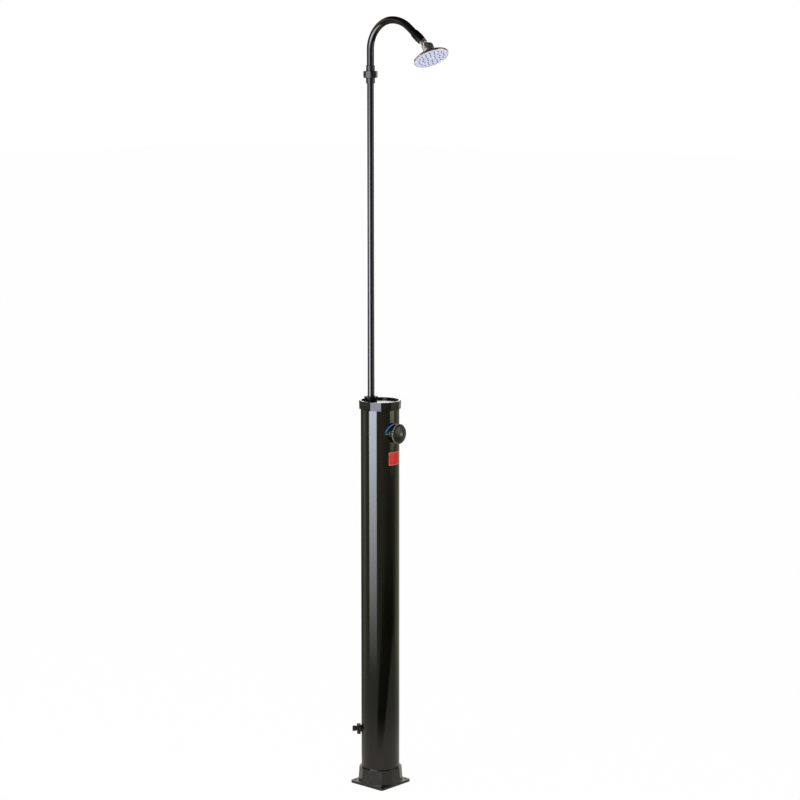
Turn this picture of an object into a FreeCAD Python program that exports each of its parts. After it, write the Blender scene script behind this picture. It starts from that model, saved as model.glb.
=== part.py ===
"""Outdoor shower post: a sun-warmed water tank on a floor socket, a mixer knob on its front,
a riser pipe with a gooseneck arm, and a round head on a ball joint.

Millimetres, +Z up. The origin is on the floor at the tank's axis, and the user stands on the -Y side.
Pieces that share an axis are drawn along +Z and then turned to their place.
"""
import FreeCAD, Part
import math
import os

V = FreeCAD.Vector
PARTS = "parts"

# ---- fits shared by every piece -------------------------------------------------------------
SLIP = 0.1                # radial gap of a glued or pushed fit
RUN = 0.08                # radial gap of a turning fit
SEAT_GAP = 0.1            # axial gap between faces that seal or turn on each other
TRIM = 0.6                # small edge chamfer

# ---- floor socket ---------------------------------------------------------------------------
BASE_SIDE = 128.0
BASE_CORNER_R = 9.5
BASE_THICK = 7.0
BOLT_SPACING = 105.0
BOLT_HOLE_R = 4.0
COLLAR_SIDES = 12         # with a corner on each of the plate's diagonals
COLLAR_HEIGHT = 44.0      # above the plate
COLLAR_WALL = 3.9         # thinnest, in the middle of a side, at the top
COLLAR_DRAFT = 3.1        # how much further out each side stands at its foot
COLLAR_EDGE_R = 1.0
COLLAR_CLEARANCE = 0.3
POCKET_DEPTH = 2.5        # hollow under the plate
POCKET_R = 47.0
POCKET_HUB_R = 12.0
POCKET_RIBS = 8
POCKET_RIB_THICK = 2.4

# ---- tank -----------------------------------------------------------------------------------
TANK_OD = 112.0
TANK_WALL = 3.2
TANK_LENGTH = 1124.0
PLUG_WEB = 5.0
PLUG_SKIRT = 18.0
PLUG_WALL = 3.0

# ---- top cap --------------------------------------------------------------------------------
CAP_SIDES = 12
CAP_TOP_WALL = 2.9        # how far its flat sides stand outside the tank, at the top
CAP_FOOT_WALL = 2.15
CAP_SKIRT = 11.0          # below the tank's upper end
CAP_DECK = 8.0
CAP_RIM = 6.0             # how far the rim stands above the deck
CAP_RIM_WALL = 4.4
CAP_EDGE_R = 0.8
CAP_SPIGOT = 15.0
CAP_SPIGOT_WALL = 3.0

# ---- hose inlet -----------------------------------------------------------------------------
INLET_AZIMUTH = 135.0     # degrees, 270 is the user's side
INLET_HEIGHT = 165.0
INLET_BARREL_R = 8.2
INLET_BORE_R = 4.5
NIPPLE_END = 26.6         # from the tank's face to the nipple's tip
NIPPLE_GROOVE_R = 6.6
NIPPLE_GROOVE_WIDTH = 2.6
NIPPLE_ROUND = 1.8
NIPPLE_LAND = 7.5         # straight stretch that a hose coupling grips
INLET_FLANGE_R = 15.0
INLET_FLANGE_THICK = 3.0
INLET_FLANGE_SET_IN = 5.0  # from the tank's inner wall to the flange
INLET_COLLAR_R = 10.6
INLET_COLLAR_THICK = 2.4
INLET_NUT_THICK = 10.6
INLET_NUT_R = 11.4
INLET_LOBE_REACH = 13.0   # centre of each lobe
INLET_LOBE_R = 4.9
INLET_LOBES = 3
TEE_REACH = 30.0          # tee's upright axis, from the tank's axis
TEE_R = 8.0
TEE_HALF = 13.0

# ---- inner tubes ----------------------------------------------------------------------------
SPIGOT_R = 5.0
SPIGOT_BORE_R = 3.5
SPIGOT_LENGTH = 18.0
HOSE_WALL = 2.0
HOSE_GRIP = 13.0          # how far a tube is pushed over its spigot
COLD_BEND_R = 60.0
COLD_BEND_DROP = 60.0     # below the mixer
COLD_BEND_SPAN = 95.0
OUTLET_BEND_R = 26.0
HOT_TUBE_LENGTH = 42.0

# ---- mixer tap ------------------------------------------------------------------------------
TAP_DROP = 78.0           # below the tank's upper end
TAP_BARREL_R = 13.5
TAP_BARREL_END = 11.0     # from the tank's face
TAP_FLANGE_R = 19.5
TAP_FLANGE_THICK = 4.0
TAP_FLANGE_SET_IN = 5.8
TAP_CHAMBER_R = 17.5
TAP_CHAMBER_LENGTH = 18.0
TAP_PORT_OFFSET = 9.0
CARTRIDGE_R = 11.0
CARTRIDGE_LENGTH = 28.0
GLAND_THICK = 2.0
SPINDLE_R = 4.0
SPINDLE_FLAT = 1.2
SPINDLE_REACH = 21.5      # from the tank's face
SPINDLE_DEPTH = 20.0      # inside the cartridge
DIAL_R = 32.5
DIAL_DROP = 3.0           # the dial's centre, below the tap's
DIAL_THICK = 1.2
DIAL_BOSS_R = 21.5
DIAL_BOSS_TOP = 3.2       # from the tank's face
TAP_NUT_FLATS = 29.0
TAP_NUT_THICK = 4.8

# ---- knob -----------------------------------------------------------------------------------
KNOB_R = 29.0
KNOB_SKIRT_R = 20.2
KNOB_SKIRT_WALL = 2.0
KNOB_BACK = 11.0          # from the tank's face to where the skirt flares
KNOB_EDGE = 16.0          # to the back of the gripping edge
KNOB_SHOULDER = 19.4      # to the front of the gripping edge
KNOB_FACE_R = 25.0
KNOB_FACE = 22.6
KNOB_TOP = 27.5
KNOB_FLUTES = 24
KNOB_FLUTE_R = 2.6
KNOB_FLUTE_DEPTH = 1.3
KNOB_FLUTE_LEAD = 2.0     # how far a flute runs out behind the gripping edge
KNOB_FLOOR = 13.8         # to the floor of the hollow behind
KNOB_CAP_R = 5.5
KNOB_CAP_THICK = 1.8
KNOB_SCREW_R = 1.9
KNOB_SCREW_HEAD_R = 3.6
KNOB_SCREW_HEAD = 2.2
KNOB_SCREW_LENGTH = 12.0

# ---- riser and its socket -------------------------------------------------------------------
RISER_FROM_WALL = 17.8    # the riser's axis, from the tank's inner wall
RISER_OD = 20.0
RISER_WALL = 1.2
RISER_SOCKET_R = 13.8
RISER_SOCKET_TOP = 7.5    # above the deck
RISER_SOCKET_FLANGE = 4.0
RISER_SOCKET_FLANGE_R = 17.2
RISER_SOCKET_BODY_R = 12.4
RISER_SOCKET_DEPTH = 9.0  # pipe below the flange's underside
RISER_GASKET = 2.0
RISER_OLIVE = 3.6
RISER_NUT_R = 17.4
RISER_NUT_GRIP_R = 20.5
RISER_NUT_HEIGHT = 12.6
RISER_NUT_GRIP = 3.4
RISER_NUT_LOBES = 10
RISER_NUT_LOBE_R = 2.2

# ---- union between riser and arm ------------------------------------------------------------
RISER_RISE = 912.0        # from the deck to the lower sleeve's foot
TAIL_R = 13.1
TAIL_LENGTH = 15.5
TAIL_GRIP = 11.5          # pipe inside the lower sleeve
TAIL_THREAD_R = 16.4
TAIL_THREAD = 12.5
UNION_BORE_R = 7.8
UNION_GASKET = 2.0
UNION_NUT_FLATS = 38.4
UNION_NUT_R = 20.3
UNION_NUT_SIDES = 8
UNION_NUT_LIP = 2.2
ARM_TAIL_R = 12.7
ARM_TAIL_FLANGE = 2.6
ARM_TAIL_LENGTH = 16.0    # above the nut
ARM_TAIL_GRIP = 13.0

# ---- arm ------------------------------------------------------------------------------------
ARM_OD = 21.0
ARM_WALL = 1.4
ARM_RISE = 42.6           # straight stretch from the upper sleeve to the bend
ARM_BEND_R = 83.0
ARM_FALL_R = 101.4
ARM_FALL = 37.6           # degrees below level at the arm's end
ARM_END_STRAIGHT = 63.0   # from the bend to the ferrule's end
FERRULE_LENGTH = 37.0
FERRULE_MOUTH_R = 12.2
FERRULE_BELLY_R = 13.1
FERRULE_BELLY_AT = 22.6
FERRULE_END_R = 11.7
FERRULE_GROOVE_AT = 12.5
FERRULE_GROOVE = 1.5
FERRULE_GROOVE_DEPTH = 0.7
FERRULE_GRIP = 20.0

# ---- ball joint -----------------------------------------------------------------------------
BALL_R = 12.0
BALL_FROM_FERRULE = 24.0
STUD_WASHER = 1.4
STUD_COLLAR_R = 10.8
STUD_COLLAR_END = 13.6    # from the ball's centre
STUD_NECK_R = 6.0
STUD_SHANK_R = 7.5
STUD_SHANK = 12.0
STUD_BORE_R = 3.5
STUD_FLATS = 19.0
HEAD_DROP = 59.5          # degrees below level of the spray's direction
HEAD_YAW = 11.7           # degrees to the user's left
BALL_NUT_R = 17.2
BALL_NUT_ABOVE = 5.0      # lip above the ball's centre
BALL_NUT_BELOW = 16.0
BALL_NUT_WALL = 3.9
BALL_NUT_SHOULDER = 3.2   # how far the dome draws in at its top
SEAT_TOP = 4.0            # below the ball's centre
SEAT_BOTTOM = 10.5
SEAT_BORE_R = 5.2

# ---- shower head ----------------------------------------------------------------------------
HEAD_R = 50.5
HEAD_FACE = 38.0          # from the ball's centre
HEAD_RIM = 5.4
HEAD_WALL = 1.8
HEAD_NECK_R = 15.2
HEAD_NECK_FLARE = 18.4
HEAD_BORE_R = 6.0
HEAD_BORE_FLARE = 2.0
FILTER_R = 8.0
FILTER_THICK = 1.2
FILTER_HOLES = 6
FILTER_HOLE_R = 1.6
PLATE_THICK = 2.2
PLATE_CROWN = 1.2
PLATE_SET_IN = 0.3
MAT_THICK = 1.4
FACE_SEAL_WIDTH = 3.2
NIB_RINGS = 3
NIB_RING_STEP = 12.15
NIBS_PER_RING = 6         # in the first ring, twice as many in the second, and so on
NIB_BASE_R = 1.9
NIB_TIP_R = 1.2
NIB_REACH = 2.0           # past the plate
NIB_GAP = 0.15

# ---- places worked out from the sizes -------------------------------------------------------
TANK_R = TANK_OD / 2
TANK_IR = TANK_R - TANK_WALL
CAP_TOP_FLAT = TANK_R + CAP_TOP_WALL
CAP_FOOT_FLAT = TANK_R + CAP_FOOT_WALL
RISER_SETBACK = TANK_IR - RISER_FROM_WALL
TANK_TOP = BASE_THICK + TANK_LENGTH
TAP_HEIGHT = TANK_TOP - TAP_DROP
DECK_TOP = TANK_TOP + CAP_DECK
CAP_TOP = DECK_TOP + CAP_RIM
COLLAR_R = TANK_R + COLLAR_CLEARANCE + COLLAR_WALL
RISER_R = RISER_OD / 2
ARM_R = ARM_OD / 2
HOSE_IR = SPIGOT_R + SLIP
HOSE_R = HOSE_IR + HOSE_WALL
TAP_PORT_DEPTH = TANK_IR - TAP_FLANGE_SET_IN - TAP_FLANGE_THICK - TAP_CHAMBER_LENGTH / 2
TAP_BACK = TAP_PORT_DEPTH - TAP_CHAMBER_LENGTH / 2
NIPPLE_TIP = TANK_R + NIPPLE_END
UNION_FOOT = DECK_TOP + RISER_RISE
UNION_NUT_FOOT = UNION_FOOT + TAIL_LENGTH
ARM_TAIL_FOOT = UNION_NUT_FOOT + TAIL_THREAD + UNION_GASKET + 2 * SEAT_GAP
UNION_NUT_TOP = ARM_TAIL_FOOT + ARM_TAIL_FLANGE + SEAT_GAP + UNION_NUT_LIP
ARM_TAIL_TOP = UNION_NUT_TOP + ARM_TAIL_LENGTH
ARM_FOOT = ARM_TAIL_TOP - ARM_TAIL_GRIP
ARM_TOP = ARM_TAIL_TOP + ARM_RISE + ARM_BEND_R
FALL = math.radians(ARM_FALL)
DROP = math.radians(HEAD_DROP)
YAW = math.radians(HEAD_YAW)
ARM_WAY = V(0, -math.cos(FALL), -math.sin(FALL))
SPRAY_WAY = V(-math.cos(DROP) * math.sin(YAW), -math.cos(DROP) * math.cos(YAW), -math.sin(DROP))
ARM_CORNER = V(0, RISER_SETBACK, ARM_TOP)
ARM_KNEE = ARM_CORNER - V(0, ARM_BEND_R + ARM_FALL_R * math.tan(FALL / 2), 0)
FERRULE_END = ARM_KNEE + ARM_WAY * (ARM_FALL_R * math.tan(FALL / 2) + ARM_END_STRAIGHT)
FERRULE_START = FERRULE_END - ARM_WAY * FERRULE_LENGTH
BALL_CENTRE = FERRULE_END + ARM_WAY * BALL_FROM_FERRULE


# ---- drawing helpers ------------------------------------------------------------------------
def rod(radius, low, high, x=0.0, y=0.0):
    """Upright cylinder between two heights."""
    return Part.makeCylinder(radius, high - low, V(x, y, low))


def tube(outer, inner, low, high, x=0.0, y=0.0):
    """Upright pipe between two heights."""
    return rod(outer, low, high, x, y).cut(rod(inner, low, high, x, y))


def turned(outline):
    """Solid turned about Z from a closed outline of (radius, height) corners.
    A corner with a third entry ends an arc that passes through that third point."""
    edges = []
    start = outline[-1]
    for corner in outline:
        a, b = V(start[0], 0, start[1]), V(corner[0], 0, corner[1])
        if len(corner) == 3:
            edges.append(Part.Arc(a, V(corner[2][0], 0, corner[2][1]), b).toShape())
        else:
            edges.append(Part.LineSegment(a, b).toShape())
        start = corner
    return Part.Face(Part.Wire(edges)).revolve(V(0, 0, 0), V(0, 0, 1), 360)


def on_sphere(radius, height):
    """Distance from the axis of a sphere's surface, at a height from its centre."""
    return math.sqrt(radius ** 2 - height ** 2)


def polygon(sides, corner_r, height, first=0.0):
    """Closed wire of a regular polygon, flat at a height."""
    turn = [math.radians(first + 360 * k / sides) for k in range(sides + 1)]
    return Part.makePolygon([V(corner_r * math.cos(t), corner_r * math.sin(t), height) for t in turn])


def prism(sides, flats, low, high, first=0.0):
    """Upright regular prism, its size given across flats."""
    face = Part.Face(polygon(sides, flats / 2 / math.cos(math.pi / sides), low, first))
    return face.extrude(V(0, 0, high - low))


def around(shape, count):
    """Copies of a shape, evenly spaced about Z."""
    copies = []
    for k in range(count):
        copy = shape.copy()
        copy.rotate(V(0, 0, 0), V(0, 0, 1), 360 * k / count)
        copies.append(copy)
    return copies


def tapered_block(sides, low, high, edge_r):
    """Solid with flat sides between two (side distance, height) levels, its upright edges rounded.
    A corner lies on each diagonal."""
    reach = 1 / math.cos(math.pi / sides)
    rings = [polygon(sides, flat * reach, height, 45) for flat, height in (low, high)]
    block = Part.makeLoft(rings, True, True)
    upright = [e for e in block.Edges if e.BoundBox.ZLength > (high[1] - low[1]) / 2]
    return block.makeFillet(edge_r, upright)


def placed(shape, centre, way):
    """A shape drawn along +Z, with its origin moved to centre and its axis along way."""
    copy = shape.copy()
    copy.Placement = FreeCAD.Placement(centre, FreeCAD.Rotation(V(0, 0, 1), way)).multiply(copy.Placement)
    return copy


def outward(shape, azimuth, height):
    """A shape drawn along +Z from the tank's axis, laid to point out of the tank's side.
    Its own +Y then points up."""
    copy = shape.copy()
    copy.rotate(V(0, 0, 0), V(1, 0, 0), 90)
    copy.rotate(V(0, 0, 0), V(0, 0, 1), azimuth - 270)
    copy.translate(V(0, 0, height))
    return copy


def bent_wire(corners, radii):
    """Wire through straight runs, with a tangent arc of the given radius at each inner corner."""
    edges = []
    start = corners[0]
    for k, radius in enumerate(radii, start=1):
        corner = corners[k]
        back = (corners[k - 1] - corner).normalize()
        ahead = (corners[k + 1] - corner).normalize()
        half = back.getAngle(ahead) / 2
        reach = radius / math.tan(half)
        middle = (back + ahead).normalize()
        bend_start, bend_end = corner + back * reach, corner + ahead * reach
        bend_middle = corner + middle * (radius / math.sin(half) - radius)
        if (bend_start - start).Length > 0.01:
            edges.append(Part.LineSegment(start, bend_start).toShape())
        edges.append(Part.Arc(bend_start, bend_middle, bend_end).toShape())
        start = bend_end
    edges.append(Part.LineSegment(start, corners[-1]).toShape())
    return Part.Wire(edges)


def bent_tube(corners, radii, outer, inner):
    """Pipe of constant wall along a bent wire."""
    path = bent_wire(corners, radii)
    way = corners[1] - corners[0]
    solids = []
    for radius in (outer, inner):
        ring = Part.Wire(Part.makeCircle(radius, corners[0], way))
        solids.append(path.makePipeShell([ring], True, False))
    return solids[0].cut(solids[1])


def tank_cylinder(radius):
    """The tank's cylinder as seen from a piece that is drawn to point out of its side."""
    return Part.makeCylinder(radius, 4 * TANK_R, V(0, -2 * TANK_R, 0), V(0, 1, 0))


# ---- floor socket and tank ------------------------------------------------------------------
def base_socket():
    half = BASE_SIDE / 2
    plate = Part.makeBox(BASE_SIDE, BASE_SIDE, BASE_THICK, V(-half, -half, 0))
    uprights = [e for e in plate.Edges if abs(e.tangentAt(e.FirstParameter).z) > 0.9]
    plate = plate.makeFillet(BASE_CORNER_R, uprights)
    rim = [e for e in plate.Edges if e.BoundBox.ZMin > BASE_THICK - 0.01]
    plate = plate.makeChamfer(TRIM, rim)
    top = BASE_THICK + COLLAR_HEIGHT
    collar = tapered_block(COLLAR_SIDES, (COLLAR_R + COLLAR_DRAFT, BASE_THICK), (COLLAR_R, top), COLLAR_EDGE_R)
    body = plate.fuse(collar).removeSplitter()
    reach = BOLT_SPACING / 2
    holes = [rod(BOLT_HOLE_R, -1, BASE_THICK + 1, sx * reach, sy * reach) for sx in (-1, 1) for sy in (-1, 1)]
    socket = rod(TANK_R + COLLAR_CLEARANCE, BASE_THICK, top + 1)
    spoke = Part.makeBox(POCKET_R, POCKET_RIB_THICK, POCKET_DEPTH, V(0, -POCKET_RIB_THICK / 2, 0))
    pocket = tube(POCKET_R, POCKET_HUB_R, 0, POCKET_DEPTH).cut(around(spoke, POCKET_RIBS))
    return body.cut(holes + [socket, pocket])


def tank_tube():
    pipe = tube(TANK_R, TANK_IR, BASE_THICK, TANK_TOP)
    tap_hole = outward(rod(TAP_BARREL_R + SLIP, 0, 2 * TANK_R), 270, TAP_HEIGHT)
    inlet_hole = outward(rod(INLET_BARREL_R + SLIP, 0, 2 * TANK_R), INLET_AZIMUTH, INLET_HEIGHT)
    return pipe.cut([tap_hole, inlet_hole])


def bottom_plug():
    """Cup glued into the tank's foot."""
    r, low, high = TANK_IR - SLIP, BASE_THICK, BASE_THICK + PLUG_WEB + PLUG_SKIRT
    return turned([(0, low), (r - TRIM, low), (r, low + TRIM), (r, high), (r - PLUG_WALL, high),
                   (r - PLUG_WALL, low + PLUG_WEB), (0, low + PLUG_WEB)])


def top_cap():
    """Twelve-sided cap: skirt outside the tank, spigot inside it, and a deck sunk below the rim."""
    foot = TANK_TOP - CAP_SKIRT
    block = tapered_block(CAP_SIDES, (CAP_FOOT_FLAT, foot), (CAP_TOP_FLAT, CAP_TOP), CAP_EDGE_R)
    groove = tube(TANK_R + SLIP, TANK_IR - SLIP, foot - 1, TANK_TOP)
    inside = TANK_IR - SLIP
    spigot_foot = TANK_TOP - CAP_SPIGOT
    notch = rod(RISER_SOCKET_FLANGE_R + TRIM, spigot_foot, TANK_TOP, 0, RISER_SETBACK)
    spigot = tube(inside, inside - CAP_SPIGOT_WALL, spigot_foot, TANK_TOP)
    hollow = rod(inside - CAP_SPIGOT_WALL, foot - 1, TANK_TOP)
    rim_r = CAP_TOP_FLAT - CAP_RIM_WALL
    recess = turned([(0, DECK_TOP), (rim_r, DECK_TOP), (rim_r, CAP_TOP - TRIM), (rim_r + TRIM, CAP_TOP),
                     (rim_r + TRIM, CAP_TOP + 1), (0, CAP_TOP + 1)])
    hole = rod(RISER_SOCKET_R + SLIP, spigot_foot, CAP_TOP, 0, RISER_SETBACK)
    return block.fuse(spigot).cut([groove, hollow, recess, hole, notch]).removeSplitter()


# ---- hose inlet -----------------------------------------------------------------------------
def inlet_body():
    """Hose nipple, clamping barrel, inner flange and tee in one moulding."""
    land = NIPPLE_TIP - NIPPLE_ROUND - NIPPLE_LAND
    groove = land - NIPPLE_GROOVE_WIDTH
    flange_low = TANK_IR - INLET_FLANGE_SET_IN - INLET_FLANGE_THICK
    flange_high = flange_low + INLET_FLANGE_THICK
    bulge = NIPPLE_ROUND * (1 - math.sqrt(0.5))
    tip_mid = (INLET_BARREL_R - bulge, NIPPLE_TIP - bulge)
    barrel = turned([(0, TEE_REACH), (INLET_BARREL_R, TEE_REACH), (INLET_BARREL_R, flange_low),
                     (INLET_FLANGE_R, flange_low), (INLET_FLANGE_R, flange_high), (INLET_BARREL_R, flange_high),
                     (INLET_BARREL_R, groove), (NIPPLE_GROOVE_R, groove + TRIM), (NIPPLE_GROOVE_R, land),
                     (INLET_BARREL_R, land), (INLET_BARREL_R, NIPPLE_TIP - NIPPLE_ROUND),
                     (INLET_BARREL_R - NIPPLE_ROUND, NIPPLE_TIP, tip_mid), (0, NIPPLE_TIP)])
    tee = Part.makeCylinder(TEE_R, 2 * TEE_HALF, V(0, -TEE_HALF, TEE_REACH), V(0, 1, 0))
    spigot = Part.makeCylinder(SPIGOT_R, TEE_HALF + SPIGOT_LENGTH, V(0, 0, TEE_REACH), V(0, 1, 0))
    upright_bore = Part.makeCylinder(SPIGOT_BORE_R, 3 * TEE_HALF + SPIGOT_LENGTH,
                                     V(0, -1.5 * TEE_HALF, TEE_REACH), V(0, 1, 0))
    bore = rod(INLET_BORE_R, TEE_REACH, NIPPLE_TIP + 1)
    body = barrel.fuse([tee, spigot]).removeSplitter().cut([upright_bore, bore])
    return outward(body, INLET_AZIMUTH, INLET_HEIGHT)


def inlet_gasket():
    """Rubber ring that fills the space between the flat flange and the round wall."""
    low = TANK_IR - INLET_FLANGE_SET_IN
    ring = tube(INLET_FLANGE_R, INLET_BARREL_R + SLIP, low, TANK_R)
    return outward(ring.common(tank_cylinder(TANK_IR - SLIP)), INLET_AZIMUTH, INLET_HEIGHT)


def inlet_collar():
    """Saddle ring outside the wall, under the clamping nut."""
    ring = tube(INLET_COLLAR_R, INLET_BARREL_R + SLIP, TANK_IR, TANK_R + INLET_COLLAR_THICK)
    return outward(ring.cut(tank_cylinder(TANK_R + SLIP)), INLET_AZIMUTH, INLET_HEIGHT)


def inlet_nut():
    """Three-lobed hand nut that clamps the inlet to the tank."""
    low = TANK_R + INLET_COLLAR_THICK + SEAT_GAP
    high = low + INLET_NUT_THICK
    lobe = turned([(0, low), (INLET_LOBE_R, low), (INLET_LOBE_R, high - 2 * TRIM),
                   (INLET_LOBE_R - 2 * TRIM, high), (0, high)])
    lobe.translate(V(0, -INLET_LOBE_REACH, 0))
    hub = turned([(0, low), (INLET_NUT_R, low), (INLET_NUT_R, high - 3 * TRIM), (INLET_NUT_R - 3 * TRIM, high),
                  (0, high)])
    nut = hub.fuse(around(lobe, INLET_LOBES)).removeSplitter()
    return outward(nut.cut(rod(INLET_BARREL_R + SLIP, low, high)), INLET_AZIMUTH, INLET_HEIGHT)


# ---- inner tubes ----------------------------------------------------------------------------
def tee_axis():
    turn = math.radians(INLET_AZIMUTH)
    return V(TEE_REACH * math.cos(turn), TEE_REACH * math.sin(turn), 0)


def cold_tube():
    """Cold feed from the tee up to the mixer, with one offset below the mixer."""
    port = V(-TAP_PORT_OFFSET, -TAP_PORT_DEPTH, 0)
    tee = tee_axis()
    top = TAP_HEIGHT - TAP_CHAMBER_R - SPIGOT_LENGTH + HOSE_GRIP
    foot = INLET_HEIGHT + TEE_HALF + SPIGOT_LENGTH - HOSE_GRIP
    upper = TAP_HEIGHT - TAP_CHAMBER_R - COLD_BEND_DROP
    corners = [V(port.x, port.y, top), V(port.x, port.y, upper), V(tee.x, tee.y, upper - COLD_BEND_SPAN),
               V(tee.x, tee.y, foot)]
    return bent_tube(corners, [COLD_BEND_R, COLD_BEND_R], HOSE_R, HOSE_IR)


def hot_tube():
    """Open standpipe that draws the warmest water from under the cap."""
    low = TAP_HEIGHT + TAP_CHAMBER_R + SPIGOT_LENGTH - HOSE_GRIP
    return tube(HOSE_R, HOSE_IR, low, low + HOT_TUBE_LENGTH, TAP_PORT_OFFSET, -TAP_PORT_DEPTH)


def outlet_tube():
    """Mixed water from the back of the tap up to the riser."""
    start = V(0, -TAP_BACK + SPIGOT_LENGTH - HOSE_GRIP, TAP_HEIGHT)
    elbow = V(0, RISER_SETBACK, TAP_HEIGHT)
    end = V(0, RISER_SETBACK, riser_spigot_foot() + HOSE_GRIP)
    return bent_tube([start, elbow, end], [OUTLET_BEND_R], HOSE_R, HOSE_IR)


# ---- mixer tap ------------------------------------------------------------------------------
def mixer_body():
    """Brass body: barrel through the tank's wall, chamber with a cold, a hot and an outlet port."""
    flange_high = TANK_IR - TAP_FLANGE_SET_IN
    flange_low = flange_high - TAP_FLANGE_THICK
    end = TANK_R + TAP_BARREL_END
    body = turned([(0, TAP_BACK), (TAP_CHAMBER_R - TRIM, TAP_BACK), (TAP_CHAMBER_R, TAP_BACK + TRIM),
                   (TAP_CHAMBER_R, flange_low), (TAP_FLANGE_R, flange_low), (TAP_FLANGE_R, flange_high),
                   (TAP_BARREL_R, flange_high), (TAP_BARREL_R, end - TRIM), (TAP_BARREL_R - TRIM, end), (0, end)])
    reach = TAP_CHAMBER_R + SPIGOT_LENGTH
    ports = []
    bores = [rod(SPIGOT_BORE_R, TAP_BACK - SPIGOT_LENGTH - 1, end), rod(CARTRIDGE_R + SLIP, cartridge_low(), end)]
    for side in (-1, 1):
        start, way = V(side * TAP_PORT_OFFSET, 0, TAP_PORT_DEPTH), V(0, side, 0)
        ports.append(Part.makeCylinder(SPIGOT_R, reach, start, way))
        bores.append(Part.makeCylinder(SPIGOT_BORE_R, reach + 1, start, way))
    ports.append(rod(SPIGOT_R, TAP_BACK - SPIGOT_LENGTH, TAP_PORT_DEPTH))
    return outward(body.fuse(ports).removeSplitter().cut(bores), 270, TAP_HEIGHT)


def cartridge_low():
    return TANK_R + TAP_BARREL_END - GLAND_THICK - CARTRIDGE_LENGTH


def mixer_gasket():
    low = TANK_IR - TAP_FLANGE_SET_IN
    ring = tube(TAP_FLANGE_R, TAP_BARREL_R + SLIP, low, TANK_R)
    return outward(ring.common(tank_cylinder(TANK_IR - SLIP)), 270, TAP_HEIGHT)


def dial_plate():
    """Round plate curved to the tank, with a flat boss for the clamping nut."""
    disc = rod(DIAL_R, TANK_IR / 2, TANK_R + 1, 0, -DIAL_DROP).common(tank_cylinder(TANK_R + DIAL_THICK))
    boss = rod(DIAL_BOSS_R, TANK_IR / 2, TANK_R + DIAL_BOSS_TOP)
    plate = disc.fuse(boss).cut([tank_cylinder(TANK_R + SLIP), rod(TAP_BARREL_R + SLIP, 0, 2 * TANK_R)])
    return outward(plate.removeSplitter(), 270, TAP_HEIGHT)


def mixer_nut():
    low = TANK_R + DIAL_BOSS_TOP
    nut = prism(6, TAP_NUT_FLATS, low, low + TAP_NUT_THICK).cut(rod(TAP_BARREL_R + SLIP, low, low + TAP_NUT_THICK))
    return outward(nut, 270, TAP_HEIGHT)


def cartridge():
    """Ceramic cartridge: sealed can with a bore for the spindle and two inlet eyes in its base."""
    low, high = cartridge_low() + SEAT_GAP, cartridge_low() + CARTRIDGE_LENGTH
    can = rod(CARTRIDGE_R, low, high)
    spindle_low = high - SPINDLE_DEPTH
    cuts = [rod(SPINDLE_R + RUN, spindle_low, high)]
    for side in (-1, 1):
        cuts.append(rod(SPINDLE_R / 2, low, low + SPINDLE_R, side * CARTRIDGE_R / 2, 0))
    return outward(can.cut(cuts), 270, TAP_HEIGHT)


def cartridge_gland():
    """Ring screwed over the cartridge, in the mouth of the barrel."""
    low = TANK_R + TAP_BARREL_END - GLAND_THICK + SEAT_GAP
    middle = TANK_R + TAP_BARREL_END + SEAT_GAP
    bore = SPINDLE_R + 2 * RUN
    ring = turned([(bore, low), (CARTRIDGE_R, low), (CARTRIDGE_R, middle), (TAP_BARREL_R - TRIM, middle),
                   (TAP_BARREL_R - TRIM, middle + GLAND_THICK), (bore, middle + GLAND_THICK)])
    return outward(ring, 270, TAP_HEIGHT)


def spindle():
    """Turning stem with a flat at its outer end and a tapped hole for the knob's screw."""
    low = cartridge_low() + CARTRIDGE_LENGTH - SPINDLE_DEPTH + SEAT_GAP
    high = TANK_R + SPINDLE_REACH
    flat_low = TANK_R + KNOB_FLOOR - TRIM
    stem = rod(SPINDLE_R, low, high)
    flat = Part.makeBox(2 * SPINDLE_R, SPINDLE_R, high - flat_low, V(-SPINDLE_R, SPINDLE_R - SPINDLE_FLAT, flat_low))
    tapped = rod(KNOB_SCREW_R + SLIP, high - KNOB_SCREW_LENGTH, high)
    return outward(stem.cut([flat, tapped]), 270, TAP_HEIGHT)


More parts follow.
